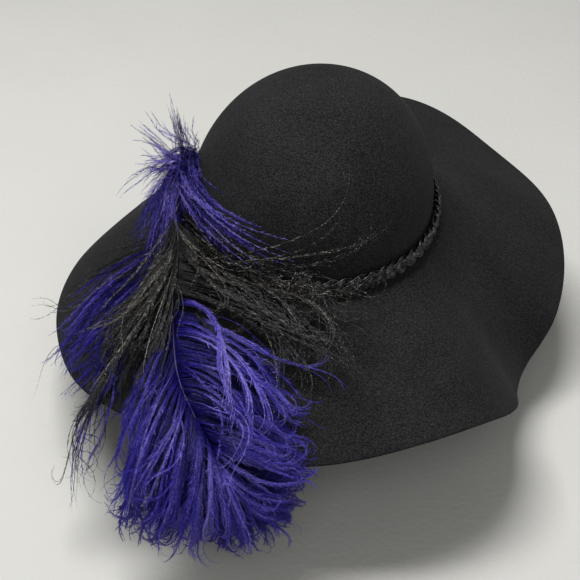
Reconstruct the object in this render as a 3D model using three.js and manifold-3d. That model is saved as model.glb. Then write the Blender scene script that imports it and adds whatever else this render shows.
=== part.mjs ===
// A wide-brimmed cavalier hat of black wool felt, with a braided band, and ostrich plumes on the wearer's
// left. Millimetres, +Z up. The origin is the centre of the crown's opening, level with the break where the crown
// turns into the brim. +Y is the front of the hat, +X the wearer's right. Azimuths are in degrees from +X
// towards +Y.
import * as THREE from "three";
import Module from "manifold-3d";

const wasm = await Module();
wasm.setup();

// The felt. The crown is measured outside, at the break. Both powers set how full the dome is.
const FELT_THICKNESS = 2;
const CROWN_LENGTH = 200;
const CROWN_WIDTH = 168;
const CROWN_HEIGHT = 95;
const CROWN_WALL_POWER = 2.17;
const CROWN_TOP_POWER = 2.1;
const TIP_LEAN_RIGHT = 9;
const TIP_LEAN_BACK = 4.5;
const BREAK_RADIUS = 5;
const BRIM_WIDTH = 120;

// The brim's folds: how far it droops below level at each azimuth, in degrees, measured as the mean slope
// from crown to edge. BRIM_CURL is the share of that droop by which the slope grows on each side of the mean.
const BRIM_CURL = 0.3;
const BRIM_FOLDS = [
  { azimuth: 20, droop: 23 },
  { azimuth: 45, droop: 18 },
  { azimuth: 70, droop: 11 },
  { azimuth: 92, droop: 19 },
  { azimuth: 118, droop: 41 },
  { azimuth: 142, droop: 44 },
  { azimuth: 165, droop: 40 },
  { azimuth: 190, droop: 36 },
  { azimuth: 212, droop: 31 },
  { azimuth: 240, droop: 18 },
  { azimuth: 266, droop: 23 },
  { azimuth: 290, droop: 17 },
  { azimuth: 303, droop: 20 },
  { azimuth: 315, droop: 33 },
  { azimuth: 326, droop: 46 },
  { azimuth: 338, droop: 48 },
  { azimuth: 352, droop: 38 },
];

// Past the felt's edge the plumes hang: the surface they follow steepens to HANG_SLOPE over HANG_TURN.
const HANG_SLOPE = 78;
const HANG_TURN = 60;

// The gap between pieces that touch.
const CLEARANCE = 0.3;

// The braided band. BRAID_REPEATS crossings of all three strands go once round the crown.
const BAND_HEIGHT = 13;
const BAND_THICKNESS = 6;
const BAND_LEVEL = 3;
const BRAID_REPEATS = 22;
const BRAID_LOBE = 0.13;

// The wrapped binding lies along the crown's left wall, from its upper end to the end the quills leave. Up is
// a share of CROWN_HEIGHT.
const BINDING_RADIUS = 5.5;
const BINDING_ENDS = [
  { azimuth: 180, up: 0.43 },
  { azimuth: 197, up: 0.35 },
];

// Plumes. PLUME_RISE is how high the quills can arch over the felt, PLUME_REACH the longest lock, and
// QUILL_RADIUS the quill's radius where it leaves the binding. Locks are flat and end in a point.
const PLUME_RISE = 30;
const PLUME_REACH = 130;
const QUILL_RADIUS = 1.6;
const QUILL_TAPER = 0.4;
const LOCK_WIDTH = 11;
const LOCK_THICKNESS = 2.4;
const LOCK_FULLNESS = 0.6;

// Each quill runs through its rows: azimuth in degrees, out as a share of BRIM_WIDTH from the crown, and
// lift over the felt as a share of PLUME_RISE. Seat is the quill's place on the binding's end, in shares of
// BINDING_RADIUS across and away from the wall. Layer is the lift, as a share of PLUME_RISE, that its locks
// settle at, and locks how many there are on each side. Vane holds the locks' form, one row for each station
// along the quill: lengths to the left and right as shares of PLUME_REACH, the angles in degrees at which
// they leave the quill, and by which they then turn back towards its line.
const PLUMES = [
  {
    name: "plume_side",
    color: 0x2a1c86,
    seat: { across: 0.5, away: 0.1 },
    layer: 0.14,
    locks: 8,
    quill: [
      { azimuth: 205, out: 0.18, lift: 0.42 },
      { azimuth: 207, out: 0.34, lift: 0.28 },
      { azimuth: 211, out: 0.52, lift: 0.2 },
      { azimuth: 216, out: 0.7, lift: 0.16 },
    ],
    vane: [
      { along: 0, left: 0.5, right: 0.35, leftLeave: 45, rightLeave: 40, leftTurn: 15, rightTurn: 30 },
      { along: 0.6, left: 0.75, right: 0.5, leftLeave: 35, rightLeave: 35, leftTurn: 20, rightTurn: 30 },
      { along: 1, left: 0.8, right: 0.8, leftLeave: 24, rightLeave: 12, leftTurn: 20, rightTurn: 20 },
    ],
  },
  {
    name: "plume_violet",
    color: 0x3420a8,
    seat: { across: -0.05, away: -0.45 },
    layer: 0.36,
    locks: 11,
    quill: [
      { azimuth: 221, out: 0.14, lift: 0.62 },
      { azimuth: 236, out: 0.48, lift: 0.42 },
      { azimuth: 245, out: 0.75, lift: 0.38 },
      { azimuth: 250, out: 0.88, lift: 0.37 },
      { azimuth: 254, out: 0.99, lift: 0.36 },
      { azimuth: 258, out: 1.12, lift: 0.36 },
    ],
    vane: [
      { along: 0, left: 0.75, right: 0.8, leftLeave: 20, rightLeave: 50, leftTurn: 15, rightTurn: 70 },
      { along: 0.25, left: 0.9, right: 1, leftLeave: 28, rightLeave: 62, leftTurn: 5, rightTurn: 90 },
      { along: 0.55, left: 0.82, right: 0.85, leftLeave: 46, rightLeave: 62, leftTurn: 5, rightTurn: 95 },
      { along: 0.8, left: 0.66, right: 0.62, leftLeave: 72, rightLeave: 58, leftTurn: 20, rightTurn: 60 },
      { along: 1, left: 0.4, right: 0.34, leftLeave: 66, rightLeave: 45, leftTurn: 20, rightTurn: 50 },
    ],
  },
  {
    name: "plume_black",
    color: 0x1b1a1c,
    seat: { across: -0.4, away: 0.35 },
    layer: 0.66,
    locks: 9,
    quill: [
      { azimuth: 211, out: 0.05, lift: 1.05 },
      { azimuth: 221, out: 0.12, lift: 0.98 },
      { azimuth: 229, out: 0.28, lift: 0.86 },
      { azimuth: 236, out: 0.45, lift: 0.76 },
      { azimuth: 239, out: 0.62, lift: 0.7 },
    ],
    vane: [
      { along: 0, left: 0.45, right: 0.95, leftLeave: 65, rightLeave: 22, leftTurn: 20, rightTurn: 35 },
      { along: 0.35, left: 0.7, right: 1, leftLeave: 40, rightLeave: 45, leftTurn: 10, rightTurn: 50 },
      { along: 0.6, left: 0.85, right: 0.75, leftLeave: 32, rightLeave: 55, leftTurn: 10, rightTurn: 45 },
      { along: 0.7, left: 0.85, right: 0.15, leftLeave: 28, rightLeave: 20, leftTurn: 10, rightTurn: 10 },
      { along: 1, left: 0.8, right: 0.3, leftLeave: 8, rightLeave: 10, leftTurn: 5, rightTurn: 10 },
    ],
  },
];

// The tuft bursts from a knot on the outside of the binding. Each row is one lock: how far it goes round the
// crown, up and away from the wall, and how far its end sags, in shares of TUFT_REACH.
const TUFT_REACH = 80;
const TUFT_KNOT_RADIUS = 4;
const TUFT_LOCK_WIDTH = 6;
const TUFT_COLOR = 0x2f1ca0;
const TUFT_LOCKS = [
  { round: 0, climb: 0.5, away: 0.06, sag: 0 },
  { round: -0.15, climb: 0.42, away: 0.18, sag: 0 },
  { round: 0.16, climb: 0.42, away: 0.02, sag: 0 },
  { round: -0.1, climb: 0.2, away: 0.34, sag: 0.05 },
  { round: 0.05, climb: 0.02, away: 0.42, sag: 0.14 },
  { round: 0.25, climb: -0.06, away: 0.44, sag: 0.34 },
  { round: 0.5, climb: -0.04, away: 0.4, sag: 0.34 },
  { round: 0.75, climb: 0.02, away: 0.34, sag: 0.24 },
  { round: 1.2, climb: 0, away: 0.06, sag: 0.1 },
  { round: 1.45, climb: 0.06, away: -0.06, sag: 0.1 },
];

// Counts of facets.
const FELT_AZIMUTHS = 72;
const CROWN_RINGS = 7;
const BREAK_RINGS = 2;
const BRIM_RINGS = 5;
const BRAID_STEPS = 4;
const BAND_SIDES = 8;
const BINDING_STEPS = 5;
const BINDING_SIDES = 8;
const QUILL_SIDES = 5;
const LOCK_STEPS = 5;
const LOCK_SIDES = 4;
const KNOT_RINGS = 4;
const KNOT_SIDES = 8;

const DEGREE = Math.PI / 180;
const mix = THREE.MathUtils.lerp;

// Radius of the crown's oval at the break.
function breakRadius(azimuth) {
  const x = Math.cos(azimuth * DEGREE) / (CROWN_WIDTH / 2);
  const y = Math.sin(azimuth * DEGREE) / (CROWN_LENGTH / 2);
  return 1 / Math.hypot(x, y);
}

// The droop at an azimuth: a smooth closed curve through the rows of BRIM_FOLDS.
function droopAt(azimuth) {
  const count = BRIM_FOLDS.length;
  const around = THREE.MathUtils.euclideanModulo(azimuth, 360);
  const fold = (index) => {
    const row = BRIM_FOLDS[THREE.MathUtils.euclideanModulo(index, count)];
    return { azimuth: row.azimuth + 360 * Math.floor(index / count), droop: row.droop };
  };
  const steepness = (index) => {
    const [before, after] = [fold(index - 1), fold(index + 1)];
    return (after.droop - before.droop) / (after.azimuth - before.azimuth);
  };
  const start = BRIM_FOLDS.filter((row) => row.azimuth <= around).length - 1;
  const [from, to] = [fold(start), fold(start + 1)];
  const span = to.azimuth - from.azimuth;
  const t = (around - from.azimuth) / span;
  const rise = t * t * (3 - 2 * t);
  const bend = t * (1 - t) * span * ((1 - t) * steepness(start) - t * steepness(start + 1));
  return mix(from.droop, to.droop, rise) + bend;
}

// One more stretch of a profile whose slope turns evenly: a chord of the arc, or a straight line.
function extend(profile, length, turn) {
  const half = turn / 2;
  const chord = Math.abs(half) > 1e-6 ? (length * Math.sin(half)) / half : length;
  return {
    radius: profile.radius + chord * Math.cos(profile.slope + half),
    height: profile.height - chord * Math.sin(profile.slope + half),
    slope: profile.slope + turn,
  };
}

// The top face of the brim, run mm from the break, and past its edge the surface that the plumes hang over.
function brimSurface(azimuth, run) {
  const droop = droopAt(azimuth) * DEGREE;
  const breakTurn = droop * (1 - BRIM_CURL) - Math.PI / 2;
  const breakLength = BREAK_RADIUS * -breakTurn;
  const stretches = [
    { length: breakLength, turn: breakTurn },
    { length: BRIM_WIDTH - breakLength, turn: 2 * BRIM_CURL * droop },
    { length: HANG_TURN, turn: HANG_SLOPE * DEGREE - droop * (1 + BRIM_CURL) },
  ];
  let profile = { radius: breakRadius(azimuth), height: 0, slope: Math.PI / 2 };
  let left = run;
  for (const { length, turn } of stretches) {
    const part = Math.min(left, length);
    profile = extend(profile, part, (turn * part) / length);
    left -= part;
  }
  profile = extend(profile, left, 0);
  const outward = new THREE.Vector3(Math.cos(azimuth * DEGREE), Math.sin(azimuth * DEGREE), 0);
  const point = outward.clone().multiplyScalar(profile.radius);
  point.z = profile.height;
  const normal = outward.clone().multiplyScalar(Math.sin(profile.slope));
  normal.z = Math.cos(profile.slope);
  return { point, normal };
}

// A point on the outside of the crown at a height, with the way straight out from the wall.
function crownWall(azimuth, height) {
  const up = THREE.MathUtils.clamp(height / CROWN_HEIGHT, 0, 1);
  const share = (1 - up ** CROWN_WALL_POWER) ** (1 / CROWN_TOP_POWER);
  const outward = new THREE.Vector3(Math.cos(azimuth * DEGREE), Math.sin(azimuth * DEGREE), 0);
  const point = outward.clone().multiplyScalar(breakRadius(azimuth) * share);
  point.x += TIP_LEAN_RIGHT * up;
  point.y -= TIP_LEAN_BACK * up;
  point.z = height;
  return { point, outward };
}

// A closed body through rings of points. A ring of one point is a tip, and an open end gets a flat fan.
// With closed set, the last ring joins the first.
function bodyThrough(rings, closed = false) {
  const points = [];
  const triangles = [];
  const indexRing = (ring) => ring.map((point) => points.push(point) - 1);
  const indexed = rings.map(indexRing);
  const join = (a, b) => {
    const sides = Math.max(a.length, b.length);
    for (let side = 0; side < sides; side += 1) {
      const next = (side + 1) % sides;
      if (a.length > 1) triangles.push([a[side], a[next], b[b.length > 1 ? next : 0]]);
      if (b.length > 1) triangles.push([a[a.length > 1 ? side : 0], b[next], b[side]]);
    }
  };
  const centreOf = (ring) => {
    const sum = ring.reduce((total, point) => total.add(point), new THREE.Vector3());
    return sum.divideScalar(ring.length);
  };
  for (let index = 0; index + 1 < indexed.length; index += 1) join(indexed[index], indexed[index + 1]);
  if (closed) join(indexed[indexed.length - 1], indexed[0]);
  if (!closed && rings[0].length > 1) join(indexRing([centreOf(rings[0])]), indexed[0]);
  if (!closed && rings[rings.length - 1].length > 1) {
    join(indexed[indexed.length - 1], indexRing([centreOf(rings[rings.length - 1])]));
  }
  let volume = 0;
  for (const [a, b, c] of triangles) volume += points[a].dot(points[b].clone().cross(points[c]));
  if (volume < 0) triangles.forEach((triangle) => triangle.reverse());
  return { points, triangles };
}

function geometryOf({ points, triangles }) {
  const geometry = new THREE.BufferGeometry();
  geometry.setAttribute("position", new THREE.Float32BufferAttribute(points.flatMap((p) => p.toArray()), 3));
  geometry.setIndex(triangles.flat());
  geometry.computeVertexNormals();
  return geometry;
}

// Bodies that run into each other, joined into one.
function fuse(bodies) {
  const solids = bodies.map(({ points, triangles }) => {
    const vertProperties = new Float32Array(points.flatMap((point) => point.toArray()));
    const triVerts = new Uint32Array(triangles.flat());
    return new wasm.Manifold(new wasm.Mesh({ numProp: 3, vertProperties, triVerts }));
  });
  const mesh = solids.reduce((sum, solid) => sum.add(solid)).getMesh();
  const geometry = new THREE.BufferGeometry();
  geometry.setAttribute("position", new THREE.Float32BufferAttribute(mesh.vertProperties, 3));
  geometry.setIndex([...mesh.triVerts]);
  geometry.computeVertexNormals();
  return geometry;
}

// A flat section across a path: an oval of sides points, wide along across and thick along away.
function ovalRing(centre, across, away, width, thickness, sides) {
  return Array.from({ length: sides }, (_, side) => {
    const angle = (side / sides) * 2 * Math.PI;
    return centre
      .clone()
      .addScaledVector(across, (Math.cos(angle) * width) / 2)
      .addScaledVector(away, (Math.sin(angle) * thickness) / 2);
  });
}

// A tapered lock or quill along places, each a point with the normal of what it lies on.
function sweep(places, sides, sizeAt) {
  return bodyThrough(
    places.map(({ point, normal }, index) => {
      const share = index / (places.length - 1);
      const { width, thickness } = sizeAt(share);
      if (width === 0) return [point];
      const before = places[Math.max(index - 1, 0)].point;
      const after = places[Math.min(index + 1, places.length - 1)].point;
      const tangent = after.clone().sub(before).normalize();
      const across = tangent.clone().cross(normal).normalize();
      const away = across.clone().cross(tangent);
      return ovalRing(point, across, away, width, thickness, sides);
    }),
  );
}

// Crown and brim: rings from the tip down the outside to the edge, then back along the inside.
function feltBody() {
  const azimuths = Array.from({ length: FELT_AZIMUTHS }, (_, index) => (index / FELT_AZIMUTHS) * 360);
  const outer = [];
  for (let ring = 1; ring < CROWN_RINGS; ring += 1) {
    const height = CROWN_HEIGHT * Math.cos((ring / CROWN_RINGS) * (Math.PI / 2)) ** (2 / CROWN_WALL_POWER);
    outer.push(azimuths.map((azimuth) => crownWall(azimuth, height).point));
  }
  for (let ring = 0; ring < BREAK_RINGS; ring += 1) {
    const run = (ring / BREAK_RINGS) * BREAK_RADIUS;
    outer.push(azimuths.map((azimuth) => brimSurface(azimuth, run).point));
  }
  for (let ring = 0; ring <= BRIM_RINGS; ring += 1) {
    const run = mix(BREAK_RADIUS, BRIM_WIDTH, ring / BRIM_RINGS);
    outer.push(azimuths.map((azimuth) => brimSurface(azimuth, run).point));
  }
  const tip = new THREE.Vector3(TIP_LEAN_RIGHT, -TIP_LEAN_BACK, CROWN_HEIGHT);
  const inner = outer.map((ring, row) =>
    ring.map((point, column) => {
      const above = row > 0 ? outer[row - 1][column] : tip;
      const below = row + 1 < outer.length ? outer[row + 1][column] : point;
      const after = ring[(column + 1) % FELT_AZIMUTHS];
      const before = ring[(column + FELT_AZIMUTHS - 1) % FELT_AZIMUTHS];
      const normal = below.clone().sub(above).cross(after.clone().sub(before)).normalize();
      return point.clone().addScaledVector(normal, -FELT_THICKNESS);
    }),
  );
  const innerTip = tip.clone();
  innerTip.z -= FELT_THICKNESS;
  return bodyThrough([[tip], ...outer, ...inner.reverse(), [innerTip]]);
}

// The braid as one band: its edges swell in turn where the strands pass, top and bottom half a step apart.
function braidedBand() {
  const steps = BRAID_REPEATS * BRAID_STEPS;
  const rings = Array.from({ length: steps }, (_, step) => {
    const azimuth = (step / steps) * 360;
    const phase = (step / BRAID_STEPS) * 2 * Math.PI;
    return Array.from({ length: BAND_SIDES }, (__, side) => {
      const angle = (side / BAND_SIDES) * 2 * Math.PI;
      const swell = 1 + BRAID_LOBE * Math.cos(phase) * Math.sin(angle) - BRAID_LOBE * Math.sin(angle) ** 2;
      const height = BAND_LEVEL + (BAND_HEIGHT / 2) * Math.sin(angle) * swell;
      const depth = CLEARANCE + (BAND_THICKNESS / 2) * (1 - Math.cos(angle));
      const { point, outward } = crownWall(azimuth, height);
      return point.addScaledVector(outward, depth);
    });
  });
  return bodyThrough(rings, true);
}

// A place along the binding's line, from 0 to 1, at a distance from the crown's wall.
function besideBinding(share, distance) {
  const azimuth = mix(BINDING_ENDS[0].azimuth, BINDING_ENDS[1].azimuth, share);
  const height = mix(BINDING_ENDS[0].up, BINDING_ENDS[1].up, share) * CROWN_HEIGHT;
  const { point, outward } = crownWall(azimuth, height);
  return { azimuth, height, point: point.addScaledVector(outward, distance), normal: outward };
}

// The binding's places, clear of the felt by its own radius and the gap.
function bindingPlaces() {
  return Array.from({ length: BINDING_STEPS + 1 }, (_, step) =>
    besideBinding(step / BINDING_STEPS, BINDING_RADIUS + CLEARANCE),
  );
}

function stemBinding() {
  const size = { width: 2 * BINDING_RADIUS, thickness: 2 * BINDING_RADIUS };
  return sweep(bindingPlaces(), BINDING_SIDES, () => size);
}

// The vane at a share of the quill's length, read between its rows.
function vaneAt(rows, along) {
  const next = rows.findIndex((row) => row.along >= along);
  const [from, to] = [rows[Math.max(next - 1, 0)], rows[next]];
  const share = from === to ? 0 : (along - from.along) / (to.along - from.along);
  return Object.fromEntries(Object.keys(from).map((name) => [name, mix(from[name], to[name], share)]));
}

// A point over the brim: azimuth in degrees, run in mm from the break and lift in mm off the felt.
function overBrim({ azimuth, run, lift }) {
  const { point, normal } = brimSurface(azimuth, run);
  return { point: point.addScaledVector(normal, lift), normal };
}

// A lock leaves its quill at a heading, measured from straight out towards growing azimuths, turns evenly
// and settles at the layer's lift.
function lockPlaces(root, heading, turn, length, layer) {
  const places = [overBrim(root)];
  const at = { ...root };
  for (let step = 1; step <= LOCK_STEPS; step += 1) {
    const share = step / LOCK_STEPS;
    const angle = (heading + turn * (share - 0.5 / LOCK_STEPS)) * DEGREE;
    const stride = length / LOCK_STEPS;
    const { point } = brimSurface(at.azimuth, at.run);
    at.azimuth += (stride * Math.sin(angle)) / Math.hypot(point.x, point.y) / DEGREE;
    at.run += stride * Math.cos(angle);
    at.lift = mix(root.lift, layer, share * (2 - share));
    places.push(overBrim(at));
  }
  return places;
}

// A lock's section: flat, widest near its middle, ending in a point.
function lockSize(width) {
  return (share) => ({
    width: share === 0 || share === 1 ? 0 : width * Math.sin(Math.PI * share ** LOCK_FULLNESS),
    thickness: LOCK_THICKNESS,
  });
}

// The place on the binding's end that a quill leaves, and a second point straight ahead of it.
function quillStart(seat) {
  const [last, end] = bindingPlaces().slice(-2);
  const ahead = end.point.clone().sub(last.point).normalize();
  const across = ahead.clone().cross(end.normal).normalize();
  const away = across.clone().cross(ahead);
  const start = end.point
    .clone()
    .addScaledVector(ahead, CLEARANCE)
    .addScaledVector(across, seat.across * BINDING_RADIUS)
    .addScaledVector(away, seat.away * BINDING_RADIUS);
  const leadOut = start.clone().addScaledVector(ahead, BINDING_RADIUS);
  return [start, leadOut].map((point) => ({ point, normal: end.normal }));
}

// One plume: its quill from the binding's end, with a lock on each side at each station along it.
function plume({ seat, layer, locks, quill, vane }) {
  const rows = quill.map(
    ({ azimuth, out, lift }) => new THREE.Vector3(azimuth, out * BRIM_WIDTH, lift * PLUME_RISE),
  );
  const route = new THREE.CatmullRomCurve3(rows, false, "catmullrom");
  const stations = Array.from({ length: locks }, (_, lock) => {
    const along = lock / (locks - 1);
    const [azimuth, run, lift] = route.getPoint(along).toArray();
    const ahead = route.getTangent(along);
    const sideways = ahead.x * DEGREE * (breakRadius(azimuth) + run);
    return { along, root: { azimuth, run, lift }, heading: Math.atan2(sideways, ahead.y) / DEGREE };
  });
  const quillSize = (share) => {
    const width = 2 * QUILL_RADIUS * mix(1, QUILL_TAPER, share);
    return { width, thickness: width };
  };
  const places = [...quillStart(seat), ...stations.map(({ root }) => overBrim(root))];
  const [beforeEnd, end] = places.slice(-2);
  const tip = end.point.clone().sub(beforeEnd.point).setLength(2 * QUILL_RADIUS).add(end.point);
  places.push({ point: tip, normal: end.normal });
  const bodies = [sweep(places, QUILL_SIDES, quillSize)];
  for (const { along, root, heading } of stations) {
    const form = vaneAt(vane, along);
    for (const side of ["left", "right"]) {
      const sign = side === "right" ? 1 : -1;
      const leave = heading + sign * form[`${side}Leave`];
      const turn = -sign * form[`${side}Turn`];
      const lockRun = lockPlaces(root, leave, turn, form[side] * PLUME_REACH, layer * PLUME_RISE);
      bodies.push(sweep(lockRun, LOCK_SIDES, lockSize(LOCK_WIDTH)));
    }
  }
  return fuse(bodies);
}

// The tuft: a knot on the outside of the binding and the locks that burst from it.
function tuft() {
  const lift = 2 * CLEARANCE + 2 * BINDING_RADIUS + TUFT_KNOT_RADIUS;
  const { azimuth, height, point: centre } = besideBinding(0.5, lift);
  const locks = TUFT_LOCKS.map(({ round, climb, away, sag }) => {
    const places = Array.from({ length: LOCK_STEPS + 1 }, (_, step) => {
      const share = step / LOCK_STEPS;
      const turn = (share * round * TUFT_REACH) / breakRadius(azimuth) / DEGREE;
      const rise = (climb * share - sag * share ** 2) * TUFT_REACH;
      const { point, outward } = crownWall(azimuth + turn, height + rise);
      return { point: point.addScaledVector(outward, lift + away * share * TUFT_REACH), normal: outward };
    });
    return sweep(places, LOCK_SIDES, lockSize(TUFT_LOCK_WIDTH));
  });
  return fuse([knot(centre), ...locks]);
}

// A round knot about a centre.
function knot(centre) {
  const across = new THREE.Vector3(1, 0, 0);
  const along = new THREE.Vector3(0, 1, 0);
  const rings = Array.from({ length: KNOT_RINGS + 1 }, (_, ring) => {
    const tilt = (ring / KNOT_RINGS) * Math.PI;
    const middle = centre.clone();
    middle.z += TUFT_KNOT_RADIUS * Math.cos(tilt);
    if (ring === 0 || ring === KNOT_RINGS) return [middle];
    const width = 2 * TUFT_KNOT_RADIUS * Math.sin(tilt);
    return ovalRing(middle, across, along, width, width, KNOT_SIDES);
  });
  return bodyThrough(rings);
}

const FELT_LOOK = { color: 0x1d1e20, roughness: 0.95, metalness: 0 };
const BRAID_LOOK = { color: 0x17171a, roughness: 0.7, metalness: 0 };
const FEATHER_LOOK = { roughness: 0.8, metalness: 0 };

const hat = new THREE.Group();
function addPiece(name, geometry, look) {
  const piece = new THREE.Mesh(geometry, new THREE.MeshStandardMaterial(look));
  piece.name = name;
  hat.add(piece);
}

addPiece("felt_body", geometryOf(feltBody()), FELT_LOOK);
addPiece("braided_band", geometryOf(braidedBand()), BRAID_LOOK);
addPiece("stem_binding", geometryOf(stemBinding()), BRAID_LOOK);
for (const form of PLUMES) addPiece(form.name, plume(form), { color: form.color, ...FEATHER_LOOK });
addPiece("tuft_violet", tuft(), { color: TUFT_COLOR, ...FEATHER_LOOK });

export default hat;
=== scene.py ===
from math import pi, radians

import bpy
import numpy as np
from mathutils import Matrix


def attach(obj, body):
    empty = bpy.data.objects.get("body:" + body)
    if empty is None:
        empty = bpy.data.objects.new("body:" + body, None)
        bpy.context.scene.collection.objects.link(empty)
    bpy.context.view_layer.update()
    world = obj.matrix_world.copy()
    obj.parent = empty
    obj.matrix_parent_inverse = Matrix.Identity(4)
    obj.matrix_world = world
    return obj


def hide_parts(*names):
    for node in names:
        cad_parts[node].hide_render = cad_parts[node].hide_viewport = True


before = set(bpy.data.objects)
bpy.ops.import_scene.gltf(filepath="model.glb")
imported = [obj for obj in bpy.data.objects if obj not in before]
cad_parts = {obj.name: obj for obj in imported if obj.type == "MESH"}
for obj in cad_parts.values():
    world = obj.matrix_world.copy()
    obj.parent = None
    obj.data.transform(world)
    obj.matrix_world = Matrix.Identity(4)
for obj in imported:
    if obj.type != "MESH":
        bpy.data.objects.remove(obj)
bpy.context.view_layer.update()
scene = bpy.context.scene

# Room. The hat hangs just clear of a pale table top, as on a low stand, under a long soft lamp overhead. A
# weak one in front and the pale room fill the shadows. The camera looks down on the hat's left front.
IMAGE_SIDE = 580
FOCAL_PIXELS = 1448
SENSOR_WIDTH = 36
CAMERA_PLACE = (0, -0.8358, 0.5490)
CAMERA_PITCH = 36.7
CAMERA_YAW = 0.9
TABLE_LEVEL = -0.131
TABLE_REACH = 6.0
TABLE_SQUARES = 24
ROOM_COLOUR = (0.66, 0.66, 0.65, 1)
ROOM_STRENGTH = 0.30
VIEW_GAMMA = 0.88
LAMPS = (
    # name, place, what it points at, width and depth in metres, watts
    ("lamp_overhead", (-0.34, 0.10, 1.60), (0.0, 0.05, 0.0), (1.0, 0.5), 34.0),
    ("lamp_front", (0.25, -1.65, 1.10), (0.0, -0.20, -0.05), (1.4, 1.4), 15.0),
)


class Signal:
    """A value that varies over a surface. Arithmetic on it adds Math nodes to its material."""

    def __init__(self, finish, socket):
        self.finish = finish
        self.socket = socket

    def through(self, operation, first, second=0.0):
        node = self.finish.add("ShaderNodeMath", {"operation": operation}, {0: first, 1: second})
        return Signal(self.finish, node.outputs[0])

    def __add__(self, other):
        return self.through("ADD", self, other)

    def __radd__(self, other):
        return self.through("ADD", other, self)

    def __rsub__(self, other):
        return self.through("SUBTRACT", other, self)

    def __mul__(self, other):
        return self.through("MULTIPLY", self, other)

    def between(self, low, high):
        """0 below low, 1 above high, and smooth between them."""
        settings = {"interpolation_type": "SMOOTHSTEP"}
        node = self.finish.add("ShaderNodeMapRange", settings, {0: self, 1: low, 2: high})
        return Signal(self.finish, node.outputs[0])


class Finish:
    """A material: a Principled shader with its constants, and the nodes that feed it."""

    def __init__(self, name, constants):
        self.material = bpy.data.materials.new(name)
        self.material.use_nodes = True
        self.tree = self.material.node_tree
        self.shader = self.tree.nodes["Principled BSDF"]
        self.feed(self.shader, constants)

    def add(self, kind, settings=None, inputs=None):
        """A node of a kind, with its settings made first and then its sockets' values or links."""
        node = self.tree.nodes.new(kind)
        for name, value in (settings or {}).items():
            setattr(node, name, value)
        self.feed(node, inputs or {})
        return node

    def feed(self, node, inputs):
        for name, value in inputs.items():
            if isinstance(value, Signal):
                self.tree.links.new(value.socket, node.inputs[name])
            else:
                node.inputs[name].default_value = value

    def place(self):
        """Where a point is on the object, in metres."""
        node = self.add("ShaderNodeTexCoord")
        return Signal(self, node.outputs["Object"])

    def attribute(self, name):
        """A number that the mesh carries at each point."""
        node = self.add("ShaderNodeAttribute", {"attribute_name": name})
        return Signal(self, node.outputs["Fac"])

    def noise(self, size, detail=2.0, roughness=0.5):
        """Soft noise about 0.5 whose patches are about size metres across."""
        inputs = {"Vector": self.place(), "Scale": 1 / size, "Detail": detail, "Roughness": roughness}
        node = self.add("ShaderNodeTexNoise", None, inputs)
        return Signal(self, node.outputs[0])

    def specks(self, spacing):
        """Distance to the nearest of many scattered points, as a share of their spacing."""
        node = self.add("ShaderNodeTexVoronoi", None, {"Vector": self.place(), "Scale": 1 / spacing})
        return Signal(self, node.outputs["Distance"])

    def blend(self, first, second, share):
        """A colour between two colours."""
        node = self.add("ShaderNodeMix", {"data_type": "RGBA"}, {0: share, 6: first, 7: second})
        return Signal(self, node.outputs[2])

    def bump(self, height, depth):
        """A normal for a surface that height, from 0 to 1, raises by up to depth metres."""
        node = self.add("ShaderNodeBump", None, {"Height": height, "Distance": depth, "Strength": 1.0})
        return Signal(self, node.outputs[0])

    def paint(self, inputs):
        self.feed(self.shader, inputs)
        return self.material


def make_piece(name, points, faces, material, smooth=True):
    """A mesh object from an array of points and arrays of faces that each have one count of corners."""
    corners = np.concatenate([rows.ravel() for rows in faces]).astype(np.int32)
    counts = np.concatenate([np.full(len(rows), rows.shape[1]) for rows in faces])
    starts = np.concatenate([[0], np.cumsum(counts)[:-1]]).astype(np.int32)
    mesh = bpy.data.meshes.new(name)
    mesh.vertices.add(len(points))
    mesh.vertices.foreach_set("co", np.asarray(points, dtype=np.float32).ravel())
    mesh.loops.add(len(corners))
    mesh.loops.foreach_set("vertex_index", corners)
    mesh.polygons.add(len(counts))
    mesh.polygons.foreach_set("loop_start", starts)
    mesh.polygons.foreach_set("use_smooth", np.full(len(counts), smooth))
    mesh.materials.append(material)
    mesh.update(calc_edges=True)
    piece = bpy.data.objects.new(name, mesh)
    scene.collection.objects.link(piece)
    return piece


def grid_faces(rows, columns, closed_rows=False, closed_columns=False):
    """Quads between the points of a grid that is numbered row by row. A closed side joins its last to its
    first."""
    row = np.arange(rows if closed_rows else rows - 1)[:, None]
    column = np.arange(columns if closed_columns else columns - 1)[None, :]
    row_after, column_after = (row + 1) % rows, (column + 1) % columns
    corners = [
        row * columns + column,
        row * columns + column_after,
        row_after * columns + column_after,
        row_after * columns + column,
    ]
    return np.stack(corners, -1).reshape(-1, 4)


camera_data = bpy.data.cameras.new("camera")
camera_data.sensor_width = SENSOR_WIDTH
camera_data.lens = SENSOR_WIDTH * FOCAL_PIXELS / IMAGE_SIDE
camera = bpy.data.objects.new("camera", camera_data)
camera.location = CAMERA_PLACE
camera.rotation_euler = (radians(90 - CAMERA_PITCH), 0, radians(CAMERA_YAW))
scene.collection.objects.link(camera)
scene.camera = camera
scene.view_settings.view_transform = "Standard"
scene.view_settings.gamma = VIEW_GAMMA

room = bpy.data.worlds.new("room")
room.use_nodes = True
room.node_tree.nodes["Background"].inputs["Color"].default_value = ROOM_COLOUR
room.node_tree.nodes["Background"].inputs["Strength"].default_value = ROOM_STRENGTH
scene.world = room

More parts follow.
